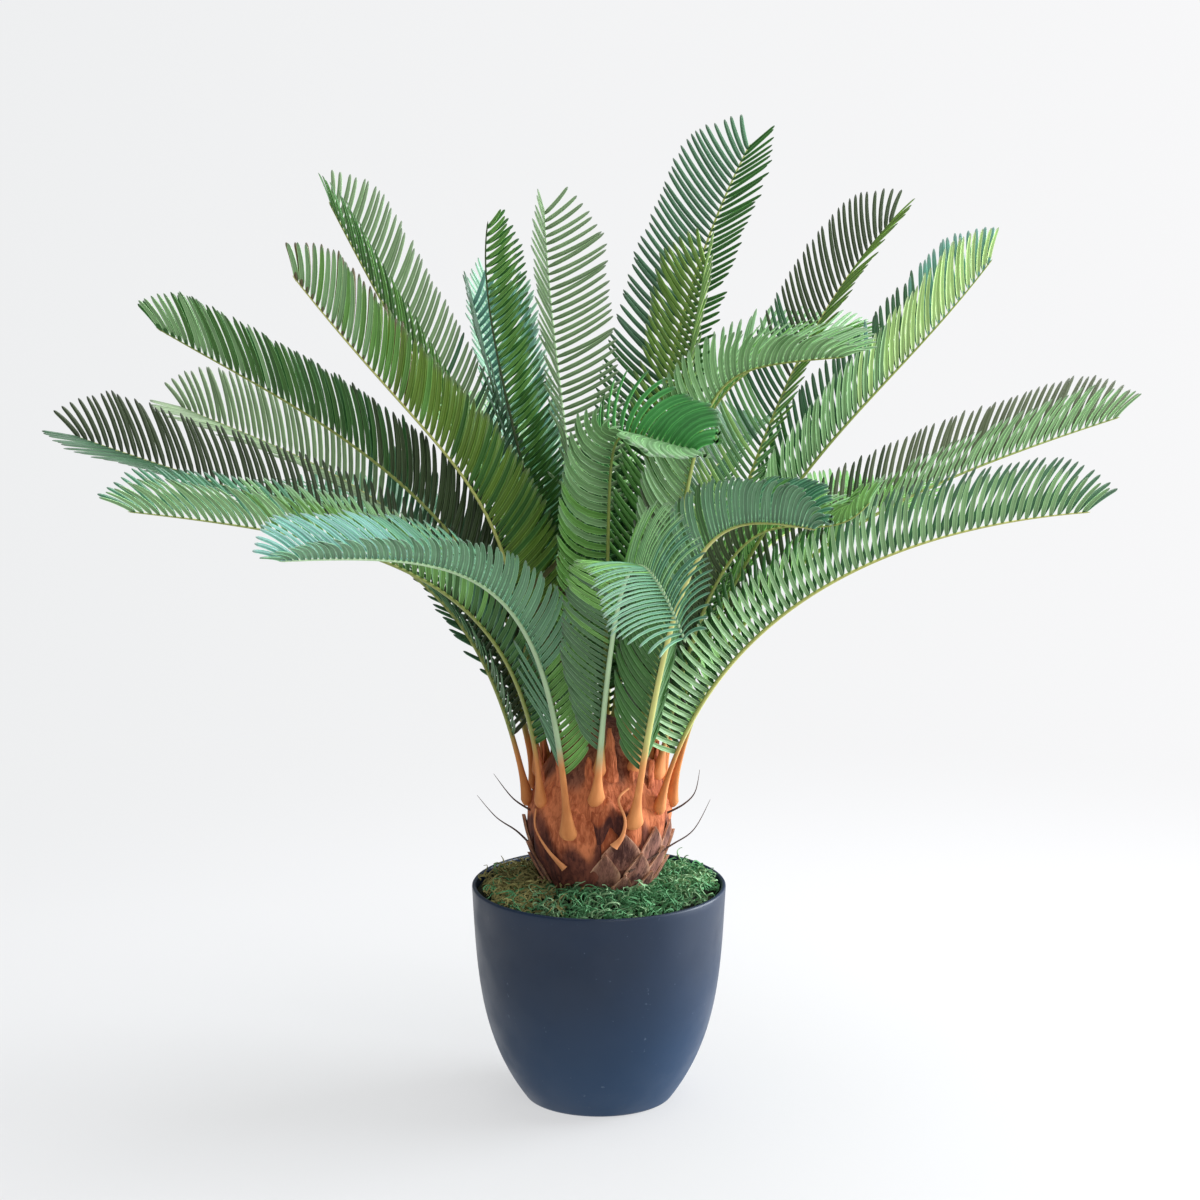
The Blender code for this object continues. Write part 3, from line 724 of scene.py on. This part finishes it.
def make_moss_strands():
    """Curly tufts, green at the front and right, olive at the left."""
    rng = random.Random(11)
    kinds = {kind: Sketch() for kind in MOSS_TONES}
    limit = pot_radius(POT_HEIGHT) - POT_WALL - 0.001
    for _ in range(MOSS_TUFTS):
        turn, share = rng.uniform(0, tau), rng.uniform(0, 0.97)
        clump = 0.5 + 0.9 * waves_round(turn, share, 8.0, 6.0)
        if clump < rng.uniform(0.3, 0.46):
            continue
        olive = cos(turn - radians(OLIVE_SIDE)) + rng.uniform(-0.5, 0.5) > 0.55
        kind = "olive" if olive else rng.choice(["green", "green", "leafy"])
        centre = moss_spot(turn, share)
        for _ in range(STRANDS_A_TUFT):
            aside = rng.gauss(0, TUFT_SPREAD), rng.gauss(0, TUFT_SPREAD)
            spot = centre + Vector((*aside, -0.001))
            far = hypot(spot.x, spot.y)
            if far > pot_radius(spot.z) - POT_WALL - 0.002 or far < trunk_radius(spot.z) - 0.001:
                continue
            spot.z += MOSS_CLUMP * (clump - 0.4)
            length = rng.uniform(0.01, 0.022)
            points, faces = curl(rng, spot, length, rng.uniform(0.0006, 0.0014))
            if max(hypot(p.x, p.y) for p in points) < limit:
                kinds[kind].add(points, faces)
    for kind, sketch in kinds.items():
        finish = moss_finish("moss_" + kind, *MOSS_TONES[kind])
        sketch.make("moss_strands_" + kind, "moss", [finish], smooth_under=80)


# Trunk

CORE_SINK = 0.0022
BULGE_OUT = 0.0046
BULGE_WIDE = 0.0095
BULGE_BELOW = 0.03
BULGE_ABOVE = 0.014
DARK_BELOW_Z = 0.242
VALLEYS_FROM_Z = 0.299
EDGE_SOFT = 0.007
VALLEYS_UNEVEN = 0.02
VALLEYS_SOFT = 0.013

# A sheet of coir: the degrees round the bulb of its middle, the height of its top, its width and
# height, where its lowest point stands between its sides, from -1 to 1, and how far that stands
# out. Lengths here and in the next tables are in millimetres
Sheet = namedtuple("Sheet", "turn top wide tall point out", defaults=(0.0,))
SHEETS = [
    Sheet(20, 293, 70, 62, -0.4),
    Sheet(150, 295, 72, 66, 0.3),
    Sheet(62, 290, 58, 50, 0.2),
    Sheet(106, 294, 66, 60, -0.2),
    Sheet(190, 292, 60, 58, -0.3),
    Sheet(334, 296, 68, 76, 0.1),
    Sheet(236, 299, 84, 98, 0.1, 3.5),
    Sheet(284, 294, 50, 38, -0.5),
]
# Upright flaps of torn coir between the stalks: degrees round, foot, width and height
FLAPS = [
    (283, 306, 13, 50), (262, 300, 10, 30), (308, 304, 11, 34), (330, 296, 10, 26),
    (228, 300, 10, 30), (196, 298, 11, 32), (166, 304, 10, 36), (142, 300, 12, 38),
    (112, 304, 11, 32), (88, 300, 11, 40), (62, 302, 10, 30), (38, 304, 12, 36),
    (18, 298, 10, 28), (352, 302, 10, 32),
]
SCALE_ROWS = (0.17, 0.189, 0.208, 0.226)
SCALES_ROUND = 13
CORE_SIDES = 220
CORE_LEVELS = 110


def ease(share):
    share = max(0, min(1, share))
    return share * share * (3 - 2 * share)


def foot_bulge(turn, z):
    """How far the coir swells round the foot of the nearest stalk, from 0 to 1."""
    most = 0.0
    for frond in FRONDS:
        aside = remainder(turn - radians(frond.at), tau) * trunk_radius(z)
        above = z - frond.height / 1000
        reach = BULGE_ABOVE if above > 0 else BULGE_BELOW
        most = max(most, exp(-((aside / BULGE_WIDE) ** 2) - (above / reach) ** 2))
    return most


def coir_radius(turn, z):
    """The bulb under its coir: lumpy, and swollen round each stalk."""
    lumps = waves_round(turn, z, 2.6, 38)
    return trunk_radius(z) - CORE_SINK + 0.002 * lumps + BULGE_OUT * foot_bulge(turn, z)


def orange_share(turn, z):
    """How orange the bulb is: dark at its foot and in the valleys between the stalks."""
    edge = DARK_BELOW_Z + 0.014 * waves_round(turn, 0, 1.4, 0)
    start = VALLEYS_FROM_Z + VALLEYS_UNEVEN * waves_round(turn, 0, 4.2, 0)
    valley = ease((z - start) / VALLEYS_SOFT) * (1 - foot_bulge(turn, z)) ** 0.7
    return ease((z - edge) / EDGE_SOFT) * (1 - 0.85 * valley)


def make_core():
    """The bulb, from just above the filling to its domed top."""
    low, high = FILL_TOP + CLEAR, TRUNK_TOP_Z + 0.004
    rings, orange = [], []
    for k in range(CORE_LEVELS + 1):
        z = low + (high - low) * k / CORE_LEVELS
        ring = []
        for turn in turns(CORE_SIDES):
            fibres = 0.0006 * waves_round(turn, z, 24, 30)
            ring.append(round_spot(turn, coir_radius(turn, z) + fibres, z))
            orange.append(orange_share(turn, z))
        rings.append(ring)
    cap = [p.lerp(Vector((0, 0, high + 0.006)), 0.6) + Vector((0, 0, 0.003)) for p in rings[-1]]
    rings.append(cap)
    core = Sketch().add(*skin(rings), orange=orange + [0.0] * CORE_SIDES)
    finish = fibre_finish("trunk_under", DARK_COIR, 0.2, "orange", ORANGE_COIR)
    core.make("trunk_core", "trunk", [finish])


def scale_plate(turn, foot, width, tall, rng):
    """A leaf base: a pointed shield with upright fibres, standing off the bulb at its point."""
    phase = rng.uniform(0, 100)
    skew = rng.uniform(-0.16, 0.16)
    stand = rng.uniform(0.003, 0.0052)

    def spot(u, v, depth):
        half = width / 2 * (1 if v < 0.42 else max(0.03, 1 - ((v - 0.42) / 0.58) ** 1.25))
        z = foot + tall * v
        here = trunk_radius(z)
        angle = turn + (u * half + skew * width * v) / here
        grain = waves(u * 8, v * 1.3, phase)
        rim = abs(u) ** 5
        off = 0.0004 + stand * v**1.5 + 0.0016 * (1 - u * u) * v + 0.0009 * rim
        # Its value marks the pale edges: partly their own paler fibre, partly a painted highlight
        return round_spot(angle, here + off + 0.0006 * grain - depth, z), max(rim, v**14)

    return patch(spot, 14, 18, 0.002)


def under_skirt(turn):
    """Whether the longest sheet of coir covers the bulb's foot here."""
    skirt = max(SHEETS, key=lambda sheet: sheet.tall)
    aside = remainder(turn - radians(skirt.turn), tau)
    return abs(aside) < 0.42 * skirt.wide / 1000 / TRUNK_WIDEST_RADIUS


def make_scales():
    """Rows of dark leaf bases round the foot of the bulb, each behind the row below it."""
    rng = random.Random(5)
    sketch = Sketch()
    for row, foot in enumerate(SCALE_ROWS):
        for i in range(SCALES_ROUND):
            turn = tau * (i + 0.5 * (row % 2) + rng.uniform(-0.14, 0.14)) / SCALES_ROUND
            if under_skirt(turn):
                continue
            wide = tau * trunk_radius(foot + 0.02) / SCALES_ROUND * rng.uniform(0.98, 1.2)
            tall = rng.uniform(0.034, 0.042)
            low = foot + rng.uniform(-0.004, 0.004)
            points, faces, edge = scale_plate(turn, low, wide, tall, rng)
            sketch.add(points, faces, edge=edge)
    finish = fibre_finish("trunk_scale", DARK_SCALE, 0.12, "edge", PALE_EDGE)
    sketch.make("trunk_scales", "trunk", [finish])


def coir_plate(sheet, rng):
    """A sheet of orange fibre over the bulb's swellings, its lower edge torn to a point."""
    phase = rng.uniform(0, 100)

    def spot(u, v, depth):
        torn = 0.005 * waves(u * 2.6, phase, 0) + 0.0016 * waves(u * 12, phase, 3)
        drop = sheet.tall / 1000 * (1 - 0.4 * abs(u - sheet.point) ** 1.2) + torn
        z = sheet.top / 1000 + 0.012 * waves(u * 2.2, phase, 5) - drop * v
        angle = radians(sheet.turn) + u * sheet.wide / 2000 / trunk_radius(z)
        folds = waves(u * 2.3, v * 1.6, phase + 7)
        grain = waves(u * 13, v * 2.0, phase)
        off = (0.0058 + sheet.out / 1000 * v) * ease(v / 0.35) * (1 - u**8) - 0.0036
        off += (0.0016 * folds + 0.0006 * grain) * ease(v / 0.25)
        low = 0.95 * ease((v - 0.42 + 0.45 * folds) / 0.26)
        return round_spot(angle, coir_radius(angle, z) + off - depth, z), low

    return patch(spot, 34, 28, 0.0016)


def flap_plate(turn, foot, wide, tall, rng):
    """A torn piece of coir that stands up between the stalks and leans out at its point."""
    phase = rng.uniform(0, 100)
    lean = rng.uniform(0, 0.004)
    skew = rng.uniform(-0.25, 0.25)
    stand = trunk_radius(foot) - 0.001

    def spot(u, v, depth):
        half = wide / 2 * max(0.05, 1 - 0.75 * v**1.6) + 0.0012 * waves(v * 6, u, phase)
        bow = 0.0016 * (1 - u * u) + lean * v * v
        angle = radians(turn) + (u * half + skew * wide * v) / stand
        folds = 0.001 * waves(u * 3, v * 3, phase)
        return round_spot(angle, stand + bow + folds - depth, foot + tall * v), 0.0

    return patch(spot, 8, 16, 0.0012)


def make_coir():
    """The sheets and the flaps, orange, and dark where a sheet's lower part darkens."""
    rng = random.Random(23)
    sketch = Sketch()
    plates = [coir_plate(sheet, rng) for sheet in SHEETS]
    plates += [flap_plate(turn, *[size / 1000 for size in sizes], rng) for turn, *sizes in FLAPS]
    for points, faces, low in plates:
        sketch.add(points, faces, low=low)
    finish = fibre_finish("trunk_coir", ORANGE_COIR, 0.34, "low", LOW_COIR)
    sketch.make("trunk_coir_sheets", "trunk", [finish])


def smooth_path(marks):
    """A smooth curve through the marks, each given as degrees round, height and how far off."""
    spots = []
    for turn, z, off in marks:
        z /= 1000
        spots.append(round_spot(radians(turn), trunk_radius(z) + off / 1000, z))
    path = []
    for k in range(len(spots) - 1):
        a, b = spots[max(0, k - 1)], spots[k]
        c, d = spots[k + 1], spots[min(len(spots) - 1, k + 2)]
        for i in range(PATH_STEPS):
            t = i / PATH_STEPS
            square = (2 * a - 5 * b + 4 * c - d) * t * t
            cube = (3 * b - a - 3 * c + d) * t**3
            path.append(0.5 * (2 * b + (c - a) * t + square + cube))
    return [*path, spots[-1]]


PATH_STEPS = 14
# Loose strands by their marks: degrees round, height, and how far off the bulb
WISPS = [
    [(188, 270, 0), (185, 281, 18), (181, 302, 42)],
    [(188, 236, 0), (185, 250, 12), (182, 262, 30), (181, 282, 50)],
    [(350, 268, 0), (353, 276, 16), (357, 286, 28), (359, 306, 40)],
    [(296, 226, 4), (336, 242, 8), (349, 254, 24), (357, 279, 40)],
    [(60, 262, 0), (66, 278, 18), (70, 296, 34)],
    [(118, 248, 0), (122, 262, 16), (128, 286, 36)],
]
STRAPS = [
    [(216, 280, 9), (219, 264, 10), (229, 246, 8), (242, 229, 6)],
    [(295, 303, 10), (285, 295, 12), (289, 277, 10), (287, 262, 8), (281, 252, 6)],
    [(40, 280, 8), (44, 264, 10), (38, 244, 7)],
    [(138, 276, 8), (132, 258, 10), (140, 236, 7)],
]


def make_fibres():
    """Dark wisps that stand off the bulb, and orange straps that lie on it."""
    dark, orange = Sketch(), Sketch()
    for marks in WISPS:
        dark.add(*tube(smooth_path(marks), lambda share: 0.0012 * (1 - 0.86 * share), 6))
    for marks in STRAPS:
        path = smooth_path(marks)
        side = Vector((-path[0].y, path[0].x, 0)).normalized()
        orange.add(*tube(path, lambda share: 0.0011 + 0.0034 * share**4, 8, 0.5, side))
    wisp = strand_finish("wisp_brown", (44, 28, 24), (92, 62, 48))
    strap = strand_finish("strap_orange", *STRAP_COIR)
    dark.make("trunk_wisps", "trunk", [wisp], smooth_under=80)
    orange.make("trunk_straps", "trunk", [strap], smooth_under=60)


# Fronds


def rib_ring(rib, share):
    """An oval section with a flattened back. It widens to a club where it meets the bulb."""
    spot = rib.place(share)
    _, side, up = rib.axes(share)
    reach = share * rib.length
    club = max(0, 1 - reach / CLUB_LENGTH)
    half = rib_width(share) / 2 * (1 + (CLUB_FLARE - 1) * club * club)
    ring = []
    for turn in turns(RIB_SIDES):
        deep = up * half * RIB_DEPTH_SHARE * (1.0 if sin(turn) > 0 else RIB_BACK_SHARE)
        ring.append(spot + side * half * cos(turn) + deep * sin(turn))
    return ring


def rib_mesh(rib):
    stations = [(k / RIB_STATIONS) ** 1.15 for k in range(RIB_STATIONS + 1)]
    rings = [rib_ring(rib, share) for share in stations]
    along = rib.axes(0.0)[0]
    centre = rib.place(0.0)
    foot = [[centre + (p - centre) * size - along * back for p in rings[0]] for size, back in CLUB_END]
    tip = rib.place(1.0)
    point = [tip + (p - tip) * 0.2 + rib.axes(1.0)[0] * 0.003 for p in rings[-1]]
    return skin([*foot, *rings, point])


class Leaflet:
    """One leaflet: where it stands, which way it points, and its own small differences."""

    def __init__(self, rib, share, row_share, hand, look, rng):
        self.root = rib.place(share)
        self.along, self.side, self.up = rib.axes(share)
        self.hand, self.droop, self.sweep = hand, look.droop, look.sweep
        self.lift = between(rib.frond.fold_foot, rib.frond.fold_tip, share) + rng.gauss(0, 1.2)
        self.lean = leaflet_lean(rib.frond, row_share) + rng.gauss(0, 1.0)
        if hand > 0:
            self.lean += look.skew
        self.length = leaflet_length(row_share) * rib.frond.leaf * rng.uniform(0.97, 1.02)
        self.twist = radians(rng.gauss(TWIST, 4))
        self.tint = rng.random()
        wide = look.wide * (1 + look.spread * row_share**2)
        self.half = LEAFLET_WIDTH / 2 * wide * rng.uniform(0.94, 1.05)
        # The leaflet's colour, picked from its row's list of colours that hold painted shade and painted
        # reflection
        row_dyes_and_light = (look.right if hand > 0 else look.left).split()
        step = int(len(row_dyes_and_light) * (row_share + rng.gauss(0, DYE_AND_LIGHT_MIXING)))
        self.dye_and_light = row_dyes_and_light[max(0, min(len(row_dyes_and_light) - 1, step))]

    def way(self, s, more):
        lift = radians(self.lift + more + self.droop * (0.35 - s))
        lean = radians(self.lean + self.sweep * (s - 0.45))
        out = self.side * self.hand * cos(lift) + self.up * sin(lift)
        return out * cos(lean) + self.along * sin(lean)

    def line(self, more, size, stations):
        """Points along the middle of the leaflet."""
        spots = [self.root.copy()]
        for a, b in zip(stations, stations[1:]):
            spots.append(spots[-1] + self.way((a + b) / 2, more) * self.length * size * (b - a))
        return spots

    def strip(self, more, size):
        """A flat stand-in of a few faces, to test what the leaflet would touch."""
        spots = self.line(more, size, (0, 0.33, 0.67, 1))
        way = self.way(0.5, more)
        across = (self.along - way * self.along.dot(way)).normalized()
        points = []
        for k, spot in enumerate(spots):
            half = self.half * (1.0 if k < 3 else 0.3)
            points += [spot - across * half, spot + across * half]
        return points, [(2 * k, 2 * k + 1, 2 * k + 3, 2 * k + 2) for k in range(3)]

    def mesh(self, more, size):
        """The full leaflet: five points over its arched back and three under it."""
        rings, along_values, across_values = [], [], []
        for s, spot in zip(LEAFLET_STATIONS, self.line(more, size, LEAFLET_STATIONS)):
            way = self.way(s, more)
            across = (self.along - way * self.along.dot(way)).normalized()
            normal = way.cross(across) * self.hand
            turned = across * cos(self.twist) + normal * sin(self.twist)
            normal = way.cross(turned) * self.hand
            half = self.half * leaflet_profile(s)
            thick = LEAFLET_THICK * (0.4 + 0.6 * leaflet_profile(s))
            ring = []
            for u, off in LEAFLET_SECTION[:: -self.hand]:
                arch = LEAFLET_ARCH * 2 * half * (1 - u * u)
                ring.append(spot + turned * half * u + normal * (arch + off * thick))
                across_values.append(abs(u))
            rings.append(ring)
            along_values += [s] * len(ring)
        points, faces = skin(rings)
        per_ring = [0, 0, 0, 0, 1, 1, 1, 1] if self.hand < 0 else [1, 1, 1, 0, 0, 0, 0, 1]
        kinds = per_ring * (len(LEAFLET_STATIONS) - 1) + [1, 1]
        tints = [self.tint] * len(points)
        return points, faces, kinds, {"along": along_values, "across": across_values, "tint": tints}


def leaflet_profile(s):
    """The share of full width at a share of the leaflet's length: pinched foot, rounded end."""
    foot = 0.45 + 0.55 * sin(pi / 2 * min(1, s / 0.15))
    taper = 1 - 0.32 * max(0, (s - 0.45) / 0.55) ** 1.4
    end = sqrt(max(0, 1 - max(0, (s - 0.88) / 0.12) ** 2))
    return max(0.08, foot * taper * end)


def search_tree(meshes):
    together = Sketch()
    for points, faces in meshes:
        together.add(points, faces)
    return BVHTree.FromPolygons(together.points, together.faces)


def fitting(leaflet, tree):
    """The first lift and size at which the leaflet touches nothing, or None."""
    for size in TRY_LENGTHS:
        for more in TRY_LIFTS:
            points, faces = leaflet.strip(more, size)
            if not BVHTree.FromPolygons(points, faces).overlap(tree):
                return more, size
    return None


def trunk_blank():
    """A plain bulb that leaflets keep clear of."""
    levels = [FILL_TOP + (TRUNK_TOP_Z - FILL_TOP) * k / 12 for k in range(13)]
    return skin([circle(trunk_radius(z) + 0.002, z, 32) for z in levels])


def grow_row(rib, hand, sketch, strips, tree, rng):
    """Adds a row of leaflets. The faces' kinds count two for each of the frond's colours in order."""
    count = round((1 - BARE_SHARE) * rib.length / LEAFLET_PITCH)
    look = LOOKS[rib.frond.name]
    for k in range(count):
        row_share = (k + 0.5) / count
        share = BARE_SHARE + (1 - BARE_SHARE) * row_share
        leaflet = Leaflet(rib, share, row_share, hand, look, rng)
        found = fitting(leaflet, tree)
        if not found:
            continue
        strips.append(leaflet.strip(*found))
        points, faces, kinds, values = leaflet.mesh(*found)
        first = 2 * dyes_and_light_of(look).index(leaflet.dye_and_light)
        sketch.add(points, faces, [first + kind for kind in kinds], **values)


def dyes_and_light_of(look):
    """The colours that a frond's leaflets use, each once, painted shade and painted reflection among
    them.
    """
    return sorted(set(look.right.split() + look.left.split()))


def nodes_of(frond):
    """The CAD nodes of a frond: one, or its lower and upper ones."""
    name = "frond_" + frond.name
    return [n for n in sorted(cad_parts) if n in (name, name + "_lower", name + "_upper")]


def make_fronds():
    leaf_mats = {}
    for name, (top, under) in DYES_AND_PAINTED_LIGHT.items():
        upper = leaf_finish("leaf_" + name, top, 0.42)
        leaf_mats[name] = [upper, leaf_finish("leaf_" + name + "_under", under, 0.55)]
    rib_mats = {name: rib_finish("rib_" + name, colour) for name, colour in RIB_DYES_AND_SHADE.items()}
    ribs = {frond.name: Rib(frond) for frond in FRONDS}
    rib_meshes = {name: rib_mesh(rib) for name, rib in ribs.items()}
    strips = []
    for number, frond in enumerate(FRONDS):
        rng = random.Random(100 + number)
        others = [mesh for name, mesh in rib_meshes.items() if name != frond.name]
        tree = search_tree([trunk_blank(), *others, *strips])
        leaves, own = Sketch(), []
        for hand in (1, -1):
            grow_row(ribs[frond.name], hand, leaves, own, tree, rng)
        strips += own
        look = LOOKS[frond.name]
        finishes = [finish for dye_and_light in dyes_and_light_of(look) for finish in leaf_mats[dye_and_light]]
        nodes = nodes_of(frond)
        leaves.make("leaflets_" + frond.name, "frond", finishes, nodes)
        rib = Sketch().add(*rib_meshes[frond.name])
        rib.make("rib_" + frond.name, "frond", [rib_mats[look.rib]], nodes, smooth_under=60)


# Stage


FLOOR_RADII = (0.001, 0.3, 0.8, 1.6, 3.0, 6.0, 14.0)
FLOOR_Z = -0.0005
FLOOR_GLOW = 0.66
DOME_RADIUS = 1.02 * FLOOR_RADII[-1]
FRAME_PX = 1200
CAMERA_FOCAL_PX = 2850
CAMERA_AWAY = 2.5
CAMERA_SPOT = (0.001, -CAMERA_AWAY, 0.936)
CAMERA_DOWN = 10.75


def stage_piece(name, rings, finish, closed_ends):
    mesh = new_mesh(name, *skin(rings, closed_ends))
    mesh.materials.append(finish)
    piece = new_object(name, mesh)
    return piece


def studio_glow(f):
    """A glow that is a little brighter towards the window on the right."""
    place = f.place()
    far = f.node("VectorMath", place)
    far.operation = "LENGTH"
    across = f.node("SeparateXYZ", Vector=place).outputs["X"]
    aside = f.sum(across, f.sum(far.outputs["Value"], CAMERA_AWAY), "DIVIDE")
    side = f.spread(aside, -0.22, 0.22, smooth=False)
    colour = f.mix(side, (238, 239, 240), (248, 248, 249))
    glow = f.node("Emission", Color=colour, Strength=1.0)
    return glow.outputs[0], far.outputs["Value"]


def make_stage():
    """A wide pale floor that fades into a pale backdrop."""
    floor = Finish("floor_white", 0.9, 0.1)
    floor.done(floor.mix(floor.noise(3, 2), (0.655, 0.655, 0.67, 1), (0.675, 0.675, 0.685, 1)))
    glow, far = studio_glow(floor)
    share = floor.spread(far, 0.3, 1.5, FLOOR_GLOW, 1.0)
    floor.surface(floor.node("MixShader", share, floor.shader.outputs[0], glow).outputs[0])
    rings = [circle(r, FLOOR_Z, 64) for r in FLOOR_RADII]
    stage_piece("floor", rings, floor.material, False)
    dome = Finish("backdrop_white", 1.0, 0.0)
    dome.surface(studio_glow(dome)[0])
    rings = []
    for k in range(17):
        lift = pi * (k / 16) - pi / 2
        r = DOME_RADIUS * max(0.001, cos(lift))
        rings.append(circle(r, DOME_RADIUS * sin(lift), 48))
    backdrop = stage_piece("backdrop", rings, dome.material, True)
    backdrop.visible_diffuse = backdrop.visible_glossy = backdrop.visible_shadow = False


def area_light(name, spot, aim, size, power, colour=(1, 1, 1)):
    data = bpy.data.lights.new(name, "AREA")
    data.size, data.energy, data.color = size, power, colour
    light = new_object(name, data)
    light.location = spot
    light.rotation_euler = (Vector(aim) - Vector(spot)).to_track_quat("-Z", "Y").to_euler()


def make_light():
    area_light("overhead", (0.3, 0.5, 3.0), (0, 0, 0.4), 2.6, 105)
    area_light("right_window", (2.6, 0.5, 0.8), (0, 0, 0.25), 2.0, 175, (0.9, 0.95, 1.0))
    area_light("front_fill", (1.2, -3.2, 1.9), (0, 0, 0.4), 2.2, 40)
    world = bpy.data.worlds.new("studio")
    world.use_nodes = True
    back = world.node_tree.nodes["Background"]
    back.inputs["Color"].default_value = (0.97, 0.98, 1.0, 1)
    back.inputs["Strength"].default_value = 0.26
    bpy.context.scene.world = world


def make_camera():
    data = bpy.data.cameras.new("camera")
    data.lens = CAMERA_FOCAL_PX / FRAME_PX * data.sensor_width
    camera = new_object("camera", data)
    camera.location = CAMERA_SPOT
    camera.rotation_euler = (radians(90 - CAMERA_DOWN), 0, 0)
    bpy.context.scene.camera = camera


def main():
    make_pot()
    make_moss_bed()
    make_moss_strands()
    make_core()
    make_scales()
    make_coir()
    make_fibres()
    make_fronds()
    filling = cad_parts["pot_filling"]
    filling.data.materials.clear()
    filling.data.materials.append(filling_finish())
    make_stage()
    make_light()
    make_camera()
    view = bpy.context.scene.view_settings
    view.view_transform = "Standard"
    view.look = "None"
    view.exposure = 0.0
    view.gamma = 1.0


main()
